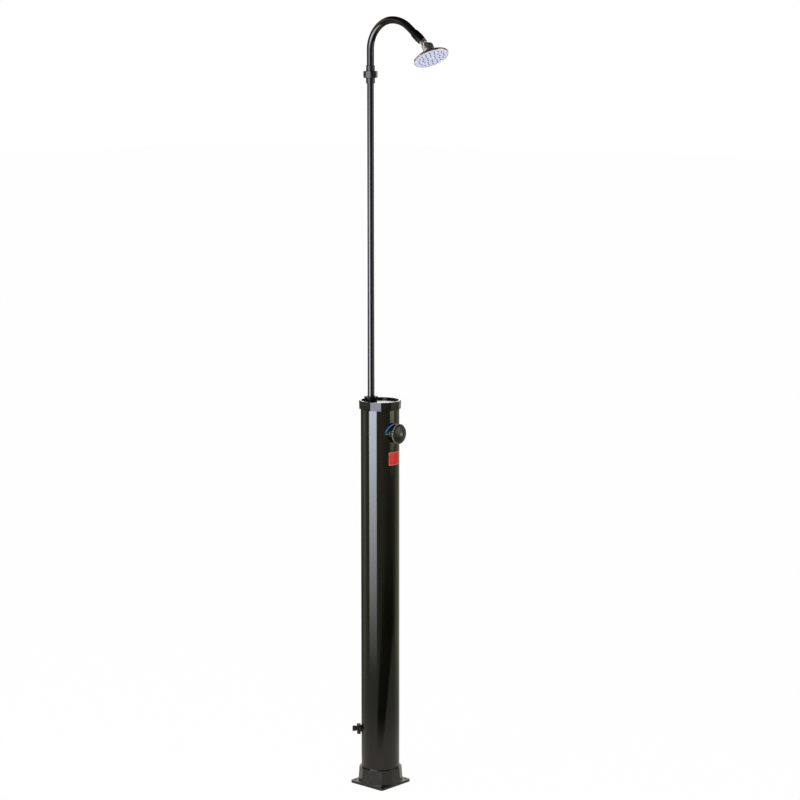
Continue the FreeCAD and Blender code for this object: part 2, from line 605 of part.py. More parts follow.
# ---- knob -----------------------------------------------------------------------------------
def knob():
    """Hand wheel: skirt over the nut, fluted gripping edge, domed face with a capped screw hole."""
    skirt_low = TANK_R + DIAL_BOSS_TOP + SEAT_GAP + TRIM
    back, edge, shoulder = TANK_R + KNOB_BACK, TANK_R + KNOB_EDGE, TANK_R + KNOB_SHOULDER
    face, top, floor = TANK_R + KNOB_FACE, TANK_R + KNOB_TOP, TANK_R + KNOB_FLOOR
    inner = KNOB_SKIRT_R - KNOB_SKIRT_WALL
    dome_mid = (KNOB_FACE_R * 0.56, face + (top - face) * 0.7)
    wheel = turned([(0, floor), (inner, floor), (inner, skirt_low), (KNOB_SKIRT_R, skirt_low),
                    (KNOB_SKIRT_R, back), (KNOB_R - 2 * TRIM, edge - TRIM), (KNOB_R, edge), (KNOB_R, shoulder),
                    (KNOB_FACE_R, face), (0, top, dome_mid)])
    flute = rod(KNOB_FLUTE_R, edge - KNOB_FLUTE_LEAD, top, KNOB_R + KNOB_FLUTE_R - KNOB_FLUTE_DEPTH)
    socket = rod(SPINDLE_R + SLIP, floor, TANK_R + SPINDLE_REACH + SEAT_GAP)
    key = Part.makeBox(2 * KNOB_CAP_R, SPINDLE_R, KNOB_TOP, V(-KNOB_CAP_R, SPINDLE_R - SPINDLE_FLAT + SLIP, floor - 1))
    screw_hole = rod(KNOB_SCREW_R + SLIP, floor, top)
    pocket = rod(KNOB_CAP_R, knob_pocket_floor(), top + 1)
    return outward(wheel.cut(around(flute, KNOB_FLUTES) + [socket.cut(key), screw_hole, pocket]), 270, TAP_HEIGHT)


def knob_pocket_floor():
    """Where the screw's head sits, measured from the tank's axis."""
    return TANK_R + KNOB_TOP - KNOB_CAP_THICK - KNOB_SCREW_HEAD - 2 * SEAT_GAP


def knob_screw():
    low = TANK_R + SPINDLE_REACH - KNOB_SCREW_LENGTH + SEAT_GAP
    seat = knob_pocket_floor()
    screw = rod(KNOB_SCREW_R, low, seat).fuse(rod(KNOB_SCREW_HEAD_R, seat, seat + KNOB_SCREW_HEAD))
    cross = [Part.makeBox(*size, V(-size[0] / 2, -size[1] / 2, seat + KNOB_SCREW_HEAD / 2))
             for size in ((KNOB_SCREW_HEAD_R, 1.0, KNOB_SCREW_HEAD), (1.0, KNOB_SCREW_HEAD_R, KNOB_SCREW_HEAD))]
    return outward(screw.cut(cross).removeSplitter(), 270, TAP_HEIGHT)


def knob_cap():
    """Push-in button that hides the knob's screw."""
    low = knob_pocket_floor() + KNOB_SCREW_HEAD + SEAT_GAP
    high = TANK_R + KNOB_TOP
    r = KNOB_CAP_R - SLIP
    cap = turned([(0, low), (r, low), (r, high - TRIM), (r - TRIM, high), (0, high)])
    return outward(cap, 270, TAP_HEIGHT)


# ---- riser ----------------------------------------------------------------------------------
def riser_gasket_foot():
    return TANK_TOP - RISER_GASKET - SEAT_GAP


def riser_spigot_foot():
    return riser_gasket_foot() - RISER_SOCKET_FLANGE - RISER_SOCKET_DEPTH - 2 * RISER_WALL - SPIGOT_LENGTH


def riser_socket():
    """Threaded sleeve through the deck; the pipe stands in it and the outlet tube is pushed on below."""
    flange_high = riser_gasket_foot()
    flange_low = flange_high - RISER_SOCKET_FLANGE
    pipe_foot = flange_low - RISER_SOCKET_DEPTH
    body_foot = pipe_foot - 2 * RISER_WALL
    top = DECK_TOP + RISER_SOCKET_TOP
    spigot_foot = riser_spigot_foot()
    bore = RISER_R + SLIP
    shape = turned([(SPIGOT_BORE_R, spigot_foot), (SPIGOT_R, spigot_foot), (SPIGOT_R, body_foot),
                    (RISER_SOCKET_BODY_R, body_foot), (RISER_SOCKET_BODY_R, flange_low),
                    (RISER_SOCKET_FLANGE_R, flange_low), (RISER_SOCKET_FLANGE_R, flange_high),
                    (RISER_SOCKET_R, flange_high), (RISER_SOCKET_R, top), (bore, top), (bore, pipe_foot),
                    (SPIGOT_BORE_R, pipe_foot)])
    return shape.translated(V(0, RISER_SETBACK, 0))


def riser_gasket():
    low = riser_gasket_foot()
    return tube(RISER_SOCKET_FLANGE_R, RISER_SOCKET_R + SLIP, low, low + RISER_GASKET, 0, RISER_SETBACK)


def riser_olive():
    """Rubber olive squeezed round the pipe by the nut."""
    low = DECK_TOP + RISER_SOCKET_TOP + SEAT_GAP
    high = low + RISER_OLIVE
    ring = turned([(RISER_R + SLIP, low), (RISER_SOCKET_R - TRIM, low), (RISER_SOCKET_R - 4 * TRIM, high),
                   (RISER_R + SLIP, high)])
    return ring.translated(V(0, RISER_SETBACK, 0))


def riser_nut():
    """Hand nut with a wide scalloped grip at its top."""
    low = DECK_TOP + SEAT_GAP
    high = low + RISER_NUT_HEIGHT
    grip = high - RISER_NUT_GRIP
    cavity = RISER_SOCKET_R + SLIP
    lip = DECK_TOP + RISER_SOCKET_TOP + RISER_OLIVE + 2 * SEAT_GAP
    nut = turned([(cavity, low), (RISER_NUT_R, low), (RISER_NUT_R, grip - 4 * TRIM), (RISER_NUT_GRIP_R, grip),
                  (RISER_NUT_GRIP_R, high - TRIM), (RISER_NUT_GRIP_R - TRIM, high), (RISER_R + 2 * SLIP, high),
                  (RISER_R + 2 * SLIP, lip), (cavity, lip)])
    scallop = rod(RISER_NUT_LOBE_R, grip - 4 * TRIM, high, RISER_NUT_GRIP_R + RISER_NUT_LOBE_R / 2)
    return nut.cut(around(scallop, RISER_NUT_LOBES)).translated(V(0, RISER_SETBACK, 0))


def riser_pipe():
    low = riser_gasket_foot() - RISER_SOCKET_FLANGE - RISER_SOCKET_DEPTH + SEAT_GAP
    high = UNION_FOOT + TAIL_GRIP
    return tube(RISER_R, RISER_R - RISER_WALL, low, high, 0, RISER_SETBACK)


# ---- union ----------------------------------------------------------------------------------
def union_tail():
    """Sleeve on the riser's end with the union's male thread."""
    low, neck = UNION_FOOT, UNION_NUT_FOOT + SEAT_GAP
    stop = low + TAIL_GRIP + SEAT_GAP
    top = UNION_NUT_FOOT + TAIL_THREAD
    bore = RISER_R + SLIP
    sleeve = turned([(bore, low), (TAIL_R - TRIM, low), (TAIL_R, low + TRIM), (TAIL_R, neck),
                     (TAIL_THREAD_R, neck), (TAIL_THREAD_R, top), (UNION_BORE_R, top), (UNION_BORE_R, stop),
                     (bore, stop)])
    return sleeve.translated(V(0, RISER_SETBACK, 0))


def union_gasket():
    low = UNION_NUT_FOOT + TAIL_THREAD + SEAT_GAP
    return tube(TAIL_THREAD_R - 2 * TRIM, UNION_BORE_R + TRIM, low, low + UNION_GASKET, 0, RISER_SETBACK)


def union_nut():
    """Eight-sided nut with rounded-off corners, loosened by hand to swing the arm."""
    low, high = UNION_NUT_FOOT, UNION_NUT_TOP
    lip = high - UNION_NUT_LIP
    cavity = TAIL_THREAD_R + RUN
    edge = (TAIL_THREAD_R + UNION_NUT_R) / 2
    blank = turned([(cavity, low), (edge, low), (UNION_NUT_R, low + 3 * TRIM), (UNION_NUT_R, high - 3 * TRIM),
                    (edge, high), (ARM_TAIL_R + RUN, high), (ARM_TAIL_R + RUN, lip), (cavity, lip)])
    nut = blank.common(prism(UNION_NUT_SIDES, UNION_NUT_FLATS, low, high))
    return nut.translated(V(0, RISER_SETBACK, 0))


def arm_tail():
    """Sleeve on the arm's foot with the flange that the union nut draws down."""
    low = ARM_TAIL_FOOT
    flange = low + ARM_TAIL_FLANGE
    top = ARM_TAIL_TOP
    stop = ARM_FOOT - SEAT_GAP
    bore = ARM_R + SLIP
    sleeve = turned([(UNION_BORE_R, low), (TAIL_THREAD_R - TRIM, low), (TAIL_THREAD_R - TRIM, flange),
                     (ARM_TAIL_R, flange), (ARM_TAIL_R, top - TRIM), (ARM_TAIL_R - TRIM, top), (bore, top),
                     (bore, stop), (UNION_BORE_R, stop)])
    return sleeve.translated(V(0, RISER_SETBACK, 0))


# ---- arm ------------------------------------------------------------------------------------
def arm_pipe():
    """Gooseneck: up, over in a quarter bend, then a wider bend down to the ferrule."""
    start = V(0, RISER_SETBACK, ARM_FOOT)
    end = FERRULE_START + ARM_WAY * FERRULE_GRIP
    return bent_tube([start, ARM_CORNER, ARM_KNEE, end], [ARM_BEND_R, ARM_FALL_R], ARM_R, ARM_R - ARM_WALL)


def arm_ferrule():
    """Black end piece: pipe socket, grip groove, belly, and the thread for the ball stud."""
    groove = FERRULE_GROOVE_AT
    slope = (FERRULE_BELLY_R - FERRULE_MOUTH_R) / FERRULE_BELLY_AT
    before, after = FERRULE_MOUTH_R + slope * groove, FERRULE_MOUTH_R + slope * (groove + FERRULE_GROOVE)
    bore, stop = ARM_R + SLIP, FERRULE_GRIP + SEAT_GAP
    thread = STUD_SHANK_R + SLIP
    shape = turned([(bore, 0), (FERRULE_MOUTH_R - TRIM, 0), (FERRULE_MOUTH_R, TRIM), (before, groove),
                    (before - FERRULE_GROOVE_DEPTH, groove), (before - FERRULE_GROOVE_DEPTH, groove + FERRULE_GROOVE),
                    (after, groove + FERRULE_GROOVE), (FERRULE_BELLY_R, FERRULE_BELLY_AT),
                    (FERRULE_END_R, FERRULE_LENGTH), (thread, FERRULE_LENGTH), (thread, stop), (bore, stop)])
    return placed(shape, FERRULE_START, ARM_WAY)


def stud_washer():
    low = -BALL_FROM_FERRULE + SEAT_GAP
    ring = tube(STUD_COLLAR_R - TRIM, STUD_SHANK_R + SLIP, low, low + STUD_WASHER)
    return placed(ring, BALL_CENTRE, ARM_WAY)


# ---- ball joint -----------------------------------------------------------------------------
def ball_stud():
    """Chromed stud: threaded shank, collar with two spanner flats, neck and hollow ball."""
    collar_low = -BALL_FROM_FERRULE + STUD_WASHER + 2 * SEAT_GAP
    shank_low = -BALL_FROM_FERRULE - STUD_SHANK
    neck_end = -on_sphere(BALL_R, STUD_NECK_R)
    flare = -STUD_COLLAR_END
    mouth = on_sphere(BALL_R, STUD_BORE_R)
    stud = turned([(STUD_BORE_R, shank_low), (STUD_SHANK_R, shank_low), (STUD_SHANK_R, collar_low),
                   (STUD_COLLAR_R, collar_low), (STUD_COLLAR_R, flare - TRIM), (STUD_COLLAR_R - TRIM, flare),
                   (STUD_NECK_R + 2 * TRIM, flare), (STUD_NECK_R, flare + 2 * TRIM), (STUD_NECK_R, neck_end),
                   (STUD_BORE_R, mouth, (BALL_R, 0))])
    slab = Part.makeBox(4 * BALL_R, 4 * BALL_R, -flare, V(-2 * BALL_R, STUD_FLATS / 2, collar_low + TRIM))
    flats = [slab, slab.mirror(V(0, 0, 0), V(0, 1, 0))]
    keep = rod(2 * BALL_R, flare, 2 * BALL_R)
    return placed(stud.cut([f.cut(keep) for f in flats]), BALL_CENTRE, ARM_WAY)


def ball_seat():
    """Nylon cup ring that the ball bears on, clamped between the nut and the head's neck."""
    sphere = BALL_R + RUN
    outer = BALL_NUT_R - BALL_NUT_WALL - RUN
    middle = (SEAT_TOP + SEAT_BOTTOM) / 2
    low_r = on_sphere(sphere, SEAT_BOTTOM)
    ring = turned([(outer, SEAT_TOP), (outer, SEAT_BOTTOM), (max(low_r, SEAT_BORE_R), SEAT_BOTTOM),
                   (on_sphere(sphere, SEAT_TOP), SEAT_TOP, (on_sphere(sphere, middle), middle))])
    return placed(ring, BALL_CENTRE, SPRAY_WAY)


def ball_nut():
    """Domed chrome nut whose lip holds the ball."""
    sphere = BALL_R + RUN
    top, foot = -BALL_NUT_ABOVE, BALL_NUT_BELOW
    cavity = BALL_NUT_R - BALL_NUT_WALL
    lip = on_sphere(sphere, top)
    inner = on_sphere(cavity, 0)
    step = 2 * TRIM
    dome = (BALL_NUT_R - BALL_NUT_SHOULDER * 0.375, top + BALL_NUT_ABOVE * 0.38)
    nut = turned([(BALL_NUT_R - BALL_NUT_SHOULDER, top), (BALL_NUT_R, TRIM, dome), (BALL_NUT_R, foot - 4 * TRIM),
                  (BALL_NUT_R - TRIM, foot - 4 * TRIM), (BALL_NUT_R - TRIM, foot - 3 * TRIM),
                  (BALL_NUT_R, foot - 3 * TRIM), (BALL_NUT_R, foot - TRIM), (BALL_NUT_R - TRIM, foot),
                  (inner, foot), (inner, step), (on_sphere(sphere, step), step),
                  (lip, top, (on_sphere(sphere, (top + step) / 2), (top + step) / 2))])
    return placed(nut, BALL_CENTRE, SPRAY_WAY)


# ---- shower head ----------------------------------------------------------------------------
def head_levels():
    """Heights from the ball's centre: neck top, rim's back edge, ledge for the mat and plate."""
    neck = SEAT_BOTTOM + SEAT_GAP
    rim = HEAD_FACE - HEAD_RIM
    ledge = HEAD_FACE - PLATE_SET_IN - PLATE_THICK - MAT_THICK - 2 * SEAT_GAP
    return neck, rim, ledge


def head_shell():
    """Thin turned shell: threaded neck, flared back, round rim and a ledge inside for the face."""
    neck, rim, ledge = head_levels()
    thread = BALL_NUT_R - BALL_NUT_WALL - RUN
    collar = BALL_NUT_BELOW + SEAT_GAP
    seat = HEAD_R - HEAD_WALL
    filter_floor = neck + SEAT_GAP + FILTER_THICK + HEAD_WALL
    back_mid = ((HEAD_NECK_R + HEAD_R) / 2, HEAD_NECK_FLARE + (rim - HEAD_NECK_FLARE) * 0.36)
    inner_mid = (back_mid[0], back_mid[1] + HEAD_WALL * 1.15)
    edge = (HEAD_R - TRIM, rim)
    inner_r = seat - FACE_SEAL_WIDTH
    return placed(turned([
        (FILTER_R + SLIP, neck), (thread, neck), (thread, collar), (HEAD_NECK_R, collar),
        (HEAD_NECK_R, HEAD_NECK_FLARE), (edge[0], edge[1], back_mid), (HEAD_R, rim + 2 * TRIM),
        (HEAD_R, HEAD_FACE - TRIM), (HEAD_R - TRIM, HEAD_FACE), (seat, HEAD_FACE), (seat, ledge),
        (inner_r, ledge), (HEAD_BORE_R + HEAD_BORE_FLARE, HEAD_NECK_FLARE + 2 * HEAD_WALL, inner_mid),
        (HEAD_BORE_R, HEAD_NECK_FLARE + HEAD_WALL), (HEAD_BORE_R, filter_floor), (FILTER_R + SLIP, filter_floor)]),
        BALL_CENTRE, SPRAY_WAY)


def flow_filter():
    """Pierced disc in the neck that keeps grit out of the nozzles."""
    neck = head_levels()[0]
    low = neck + SEAT_GAP + HEAD_WALL
    disc = rod(FILTER_R, low - SEAT_GAP, low - SEAT_GAP + FILTER_THICK)
    hole = rod(FILTER_HOLE_R, low - 1, low + 2 * FILTER_THICK, FILTER_R * 0.6)
    return placed(disc.cut(around(hole, FILTER_HOLES)), BALL_CENTRE, SPRAY_WAY)


def nib_places():
    places = []
    for ring in range(1, NIB_RINGS + 1):
        radius, count = ring * NIB_RING_STEP, ring * NIBS_PER_RING
        for k in range(count):
            turn = 2 * math.pi * k / count
            places.append(V(radius * math.cos(turn), radius * math.sin(turn), 0))
    return places


def face_seal():
    ledge = head_levels()[2]
    outer = HEAD_R - HEAD_WALL - SLIP
    ring = tube(outer, outer - FACE_SEAL_WIDTH, ledge, ledge + MAT_THICK)
    return placed(ring, BALL_CENTRE, SPRAY_WAY)


def plate_back():
    return head_levels()[2] + MAT_THICK + SEAT_GAP


def nozzle_mat():
    """Silicone mat behind the plate, with one tapered nib through each hole."""
    back = plate_back() - SEAT_GAP - MAT_THICK
    mat = rod(HEAD_R - HEAD_WALL - FACE_SEAL_WIDTH - 3 * SLIP, back, back + MAT_THICK)
    tip = HEAD_FACE - PLATE_SET_IN + NIB_REACH
    nib = Part.makeCone(NIB_BASE_R, NIB_TIP_R, tip - back - MAT_THICK / 2, V(0, 0, back + MAT_THICK / 2))
    return placed(mat.fuse([nib.translated(p) for p in nib_places()]), BALL_CENTRE, SPRAY_WAY)


def face_plate():
    """Round face with a hole for each nib and a shallow turned groove near its edge."""
    back = plate_back()
    front = HEAD_FACE - PLATE_SET_IN
    r = HEAD_R - HEAD_WALL - SLIP
    groove = r - PLATE_CROWN * 2
    disc = turned([(0, back), (r, back), (r, front - TRIM), (groove, front - TRIM),
                   (groove - TRIM, front), (0, front)])
    holes = [rod(NIB_BASE_R + NIB_GAP, back - 1, front + 1).translated(p) for p in nib_places()]
    return placed(disc.cut(holes), BALL_CENTRE, SPRAY_WAY)


PIECES = [
    base_socket, tank_tube, bottom_plug, top_cap,
    inlet_body, inlet_gasket, inlet_collar, inlet_nut,
    cold_tube, hot_tube, outlet_tube,
    mixer_body, mixer_gasket, dial_plate, mixer_nut, cartridge, cartridge_gland, spindle,
    knob, knob_screw, knob_cap,
    riser_socket, riser_gasket, riser_olive, riser_nut, riser_pipe,
    union_tail, union_gasket, union_nut, arm_tail,
    arm_pipe, arm_ferrule, stud_washer,
    ball_stud, ball_seat, ball_nut,
    head_shell, flow_filter, face_seal, nozzle_mat, face_plate,
]


def main():
    os.makedirs(PARTS, exist_ok=True)
    for piece in PIECES:
        shape = piece()
        solids = len(shape.Solids)
        print(f"{piece.__name__:16s} solids {solids} volume {shape.Volume:12.1f} valid {shape.isValid()}")
        shape.exportStep(f"{PARTS}/{piece.__name__}.step")


main()
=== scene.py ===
"""Outdoor shower post, dressed for the render.

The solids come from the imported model. This script gives each one its material, adds the bare red
sticker on the tank, and builds a small white studio with the photograph's camera.
Everything is in metres, in the model's own frame: +Z up, the user's side towards -Y.
"""
import bpy
import math
import numpy as np
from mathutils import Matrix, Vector


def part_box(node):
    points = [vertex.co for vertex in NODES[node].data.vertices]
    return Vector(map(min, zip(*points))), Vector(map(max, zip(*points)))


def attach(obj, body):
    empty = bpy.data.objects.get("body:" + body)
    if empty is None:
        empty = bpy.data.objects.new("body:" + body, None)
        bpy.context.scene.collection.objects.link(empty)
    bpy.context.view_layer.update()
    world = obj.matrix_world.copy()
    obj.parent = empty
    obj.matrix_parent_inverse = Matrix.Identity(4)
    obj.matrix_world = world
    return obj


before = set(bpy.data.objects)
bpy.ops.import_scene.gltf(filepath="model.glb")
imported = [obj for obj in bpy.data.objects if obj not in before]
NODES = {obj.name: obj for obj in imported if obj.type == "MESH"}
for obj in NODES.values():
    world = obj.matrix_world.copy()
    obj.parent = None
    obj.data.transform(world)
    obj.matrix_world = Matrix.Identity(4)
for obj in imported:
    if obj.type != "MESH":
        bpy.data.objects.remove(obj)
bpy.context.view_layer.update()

# ---- sizes ----------------------------------------------------------------------------------
TANK_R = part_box("tank_tube")[1][0]
DIAL_HEIGHT = sum(corner[2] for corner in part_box("dial_plate")) / 2
DIAL_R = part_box("dial_plate")[1][0]
KNOB_HEIGHT = sum(corner[2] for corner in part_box("knob")) / 2
KNOB_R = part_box("knob")[1][0]
KNOB_RIDGE_HIGHLIGHT_DEPTH = 0.0007      # how far in from the tops of its ridges the knob is painted pale, a painted highlight
KNOB_RIM_DEPTH = 0.0118       # from the front of the knob to the back of its fluted rim
KNOB_RIM_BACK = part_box("knob")[0][1] + KNOB_RIM_DEPTH
KNOB_SKIRT_DULLER = 0.4       # roughness that the skirt has over the rim

# what is printed on the dial: depths in from its edge, and angles from the top in radians
ARC_DEPTHS = (0.0040, 0.0004)
ARC_TURN = (-1.31, 1.35)
SIDE_MARK_DEPTHS = (0.0092, 0.0018)
SIDE_MARK_TURN = (-1.51, -1.41)
FOOT_MARK_DEPTHS = (0.0038, 0.0012)
FOOT_MARK_TURN = (-2.95, -2.84)

STICKER_LOW, STICKER_HIGH = 0.961, 0.998
STICKER_LEFT, STICKER_RIGHT = math.radians(-110.9), math.radians(-64.0)
STICKER_THICK = 0.0002
STICKER_COLUMNS, STICKER_ROWS = 41, 21
KEYLINE_X, KEYLINE_Y = 0.022, 0.024     # about 1 mm, as shares of the sticker's width and height

# the camera, fitted to the edges in the photograph
PHOTO_SIDE = 800              # pixels
PHOTO_FOCAL = 2240            # pixels
HORIZON_RISE = 335            # pixels from the photograph's middle up to the horizon
SENSOR = 36                   # millimetres
CAMERA_ANGLE = math.radians(-138.3)     # round the tank, from +X towards +Y
CAMERA_AWAY = 6.406
CAMERA_ASIDE = 0.05775
CAMERA_HEIGHT = 2.1027
CAMERA_PITCH = math.atan(HORIZON_RISE / PHOTO_FOCAL)
TO_CAMERA = Vector((math.cos(CAMERA_ANGLE), math.sin(CAMERA_ANGLE), 0))
TO_RIGHT = Vector((-TO_CAMERA.y, TO_CAMERA.x, 0))


# ---- colour and node helpers ----------------------------------------------------------------
def linear(code):
    """sRGB hex string to a linear RGBA tuple."""
    parts = [int(code[k:k + 2], 16) / 255 for k in (1, 3, 5)]
    return tuple(p / 12.92 if p <= 0.04045 else ((p + 0.055) / 1.055) ** 2.4 for p in parts) + (1.0,)


def add(tree, kind, inputs=None, stops=(), **settings):
    """Adds one node. Settings are its properties. Inputs are values, other nodes' outputs, or nodes
    that stand for their first output. Stops are a colour ramp's (position, colour or grey) pairs."""
    made = tree.nodes.new("ShaderNode" + kind)
    for name, value in settings.items():
        setattr(made, name, value)
    for name, value in (inputs or {}).items():
        if isinstance(value, bpy.types.Node):
            value = value.outputs[0]
        if isinstance(value, bpy.types.NodeSocket):
            tree.links.new(value, made.inputs[name])
        else:
            made.inputs[name].default_value = value
    for _ in stops[2:]:
        made.color_ramp.elements.new(0.5)
    for k, (position, colour) in enumerate(stops):
        element = made.color_ramp.elements[k]
        element.position = position
        element.color = linear(colour) if isinstance(colour, str) else (colour, colour, colour, 1)
    return made


def new_material(name):
    """New material with an empty node tree, and that tree."""
    material = bpy.data.materials.new(name)
    material.use_nodes = True
    material.node_tree.nodes.clear()
    return material, material.node_tree


def place(tree, scale=(1, 1, 1), location=(0, 0, 0)):
    """Object coordinates in metres, stretched and then moved."""
    coords = add(tree, "TexCoord").outputs["Object"]
    return add(tree, "Mapping", {"Vector": coords, "Scale": scale, "Location": location})


def band(tree, value, low, high):
    """1 between two limits, 0 outside."""
    above = add(tree, "Math", {0: value, 1: low}, operation="GREATER_THAN")
    below = add(tree, "Math", {0: value, 1: high}, operation="LESS_THAN")
    return add(tree, "Math", {0: above, 1: below}, operation="MULTIPLY")


def round_the_tap(tree, height):
    """Distance and angle from a line along Y at a height: the angle is 0 upwards, positive towards +X."""
    split = add(tree, "SeparateXYZ", {"Vector": place(tree, location=(0, 0, -height))})
    x, z = split.outputs["X"], split.outputs["Z"]
    x_squared = add(tree, "Math", {0: x, 1: x}, operation="MULTIPLY")
    z_squared = add(tree, "Math", {0: z, 1: z}, operation="MULTIPLY")
    squares = add(tree, "Math", {0: x_squared, 1: z_squared}, operation="ADD")
    radius = add(tree, "Math", {0: squares}, operation="SQRT")
    return radius, add(tree, "Math", {0: x, 1: z}, operation="ARCTAN2")


# ---- materials ------------------------------------------------------------------------------
def tank_pvc():
    """Extruded PVC pipe, dyed olive black. Extrusion leaves a hard gloss with faint lengthwise draw
    lines, about 4 mm apart, and handling leaves a few dull rubbed patches."""
    material, tree = new_material("extruded_gloss_pvc")
    lines = add(tree, "TexNoise", {"Vector": place(tree, (260, 260, 3)), "Scale": 1, "Detail": 3})
    patches = add(tree, "TexNoise", {"Vector": place(tree, (14, 14, 5)), "Scale": 1, "Detail": 4})
    specks = add(tree, "TexNoise", {"Vector": place(tree, (420, 420, 420)), "Scale": 1, "Detail": 2})
    rough = add(tree, "ValToRGB", {"Fac": patches}, stops=((0.35, 0.045), (0.75, 0.10)))
    tint = add(tree, "ValToRGB", {"Fac": patches}, stops=((0.3, "#080905"), (0.7, "#0e0e08")))
    height = add(tree, "Mix", {"Factor": 0.25, "A": lines, "B": specks})
    bump = add(tree, "Bump", {"Height": height, "Strength": 0.08, "Distance": 0.0004})
    shader = add(tree, "BsdfPrincipled", {"Base Color": tint, "Roughness": rough, "IOR": 1.53,
                                          "Normal": bump})
    add(tree, "OutputMaterial", {"Surface": shader})
    return material


def fine_grained(name, base, paler_tone, rough_low, rough_high, relief, gloss=1.49):
    """Moulded polypropylene or ABS, or baked lacquer. The mould's spark-eroded grain, or the lacquer's
    fine dust, scatters the light into a soft grey sheen. It is drawn at 1.1 mm, coarser than real, so
    that it shows. Colour and shine cloud over 22 mm where hands have been."""
    material, tree = new_material(name)
    grain = add(tree, "TexNoise", {"Vector": place(tree, (900, 900, 900)), "Scale": 1, "Detail": 2})
    clouds = add(tree, "TexNoise", {"Vector": place(tree, (45, 45, 45)), "Scale": 1, "Detail": 3})
    tint = add(tree, "ValToRGB", {"Fac": clouds}, stops=((0.35, base), (0.7, paler_tone)))
    rough = add(tree, "ValToRGB", {"Fac": clouds}, stops=((0.3, rough_low), (0.7, rough_high)))
    bump = add(tree, "Bump", {"Height": grain, "Strength": relief, "Distance": 0.0003})
    shader = add(tree, "BsdfPrincipled", {"Base Color": tint, "Roughness": rough, "IOR": gloss,
                                          "Normal": bump})
    add(tree, "OutputMaterial", {"Surface": shader})
    return material


def lacquered_steel():
    """Steel tube with a baked black lacquer: deep black, glossy, with a slight orange peel of
    about 3 mm that makes long reflections waver."""
    material, tree = new_material("baked_black_lacquer")
    peel = add(tree, "TexNoise", {"Vector": place(tree, (330, 330, 330)), "Scale": 1, "Detail": 1})
    wear = add(tree, "TexNoise", {"Vector": place(tree, (60, 60, 18)), "Scale": 1, "Detail": 4})
    rough = add(tree, "ValToRGB", {"Fac": wear}, stops=((0.4, 0.10), (0.75, 0.14)))
    bump = add(tree, "Bump", {"Height": peel, "Strength": 0.015, "Distance": 0.0003})
    black = linear("#050506")
    shader = add(tree, "BsdfPrincipled", {"Base Color": black, "Roughness": rough, "IOR": 1.5,
                                          "Normal": bump})
    add(tree, "OutputMaterial", {"Surface": shader})
    return material


def chromium_plate(name, colour, rough_low, rough_high):
    """Chromium plate over brass or moulded plastic, bright or satin as the ground under it, with faint
    dull water marks, 6 mm apart."""
    material, tree = new_material(name)
    marks = add(tree, "TexNoise", {"Vector": place(tree, (160, 160, 160)), "Scale": 1, "Detail": 3})
    rough = add(tree, "ValToRGB", {"Fac": marks}, stops=((0.42, rough_low), (0.72, rough_high)))
    shader = add(tree, "BsdfPrincipled", {"Base Color": linear(colour), "Metallic": 1, "Roughness": rough})
    add(tree, "OutputMaterial", {"Surface": shader})
    return material


def turned_metal(name, colour, rough):
    """Turned metal left bare: fine tool marks, 0.3 mm apart, that dull the shine."""
    material, tree = new_material(name)
    marks = add(tree, "TexNoise", {"Vector": place(tree, (300, 300, 3300)), "Scale": 1, "Detail": 1})
    shine = add(tree, "ValToRGB", {"Fac": marks}, stops=((0.35, rough - 0.05), (0.7, rough + 0.08)))
    shader = add(tree, "BsdfPrincipled", {"Base Color": linear(colour), "Metallic": 1, "Roughness": shine})
    add(tree, "OutputMaterial", {"Surface": shader})
    return material


def soft_plain(name, low, high, rough, mm):
    """Moulded rubber, silicone, nylon or polyethylene: even colour that clouds slightly over a few
    millimetres, with a dull surface."""
    material, tree = new_material(name)
    per_metre = 1000 / mm
    coords = place(tree, (per_metre, per_metre, per_metre))
    clouds = add(tree, "TexNoise", {"Vector": coords, "Scale": 1, "Detail": 3})
    tint = add(tree, "ValToRGB", {"Fac": clouds}, stops=((0.35, low), (0.7, high)))
    bump = add(tree, "Bump", {"Height": clouds, "Strength": 0.15, "Distance": 0.0002})
    shader = add(tree, "BsdfPrincipled", {"Base Color": tint, "Roughness": rough, "Normal": bump})
    add(tree, "OutputMaterial", {"Surface": shader})
    return material


def fluted_knob():
    """Moulded ABS, olive black and satin. The tops of the ridges are painted pale, a painted highlight,
    and the skirt behind the fluted rim is still as dull as it was moulded."""
    material, tree = new_material("satin_moulded_abs")
    radius, _ = round_the_tap(tree, KNOB_HEIGHT)
    y = add(tree, "SeparateXYZ", {"Vector": place(tree)}).outputs["Y"]
    clouds = add(tree, "TexNoise", {"Vector": place(tree, (90, 90, 90)), "Scale": 1, "Detail": 3})
    ground = add(tree, "ValToRGB", {"Fac": clouds}, stops=((0.35, "#15150e"), (0.7, "#1b1b14")))
    # painted highlight: the tops of the ridges are coloured pale grey
    paler_tone = add(tree, "Math", {0: radius, 1: KNOB_R - KNOB_RIDGE_HIGHLIGHT_DEPTH}, operation="GREATER_THAN")
    tint = add(tree, "Mix", {0: paler_tone, 6: ground, 7: linear("#76766c")}, data_type="RGBA").outputs[2]
    satin = add(tree, "ValToRGB", {"Fac": clouds}, stops=((0.35, 0.30), (0.7, 0.40)))
    skirt = add(tree, "Math", {0: y, 1: KNOB_RIM_BACK}, operation="GREATER_THAN")
    dull = add(tree, "Math", {0: skirt, 1: KNOB_SKIRT_DULLER}, operation="MULTIPLY")
    rough = add(tree, "Math", {0: satin, 1: dull}, operation="ADD")
    shader = add(tree, "BsdfPrincipled", {"Base Color": tint, "Roughness": rough, "IOR": 1.5})
    add(tree, "OutputMaterial", {"Surface": shader})
    return material


def dial_patch(tree, radius, angle, depths, turn):
    """1 between two depths in from the dial's edge and two angles, 0 elsewhere."""
    ring = band(tree, radius, DIAL_R - depths[0], DIAL_R - depths[1])
    return add(tree, "Math", {0: ring, 1: band(tree, angle, *turn)}, operation="MULTIPLY")


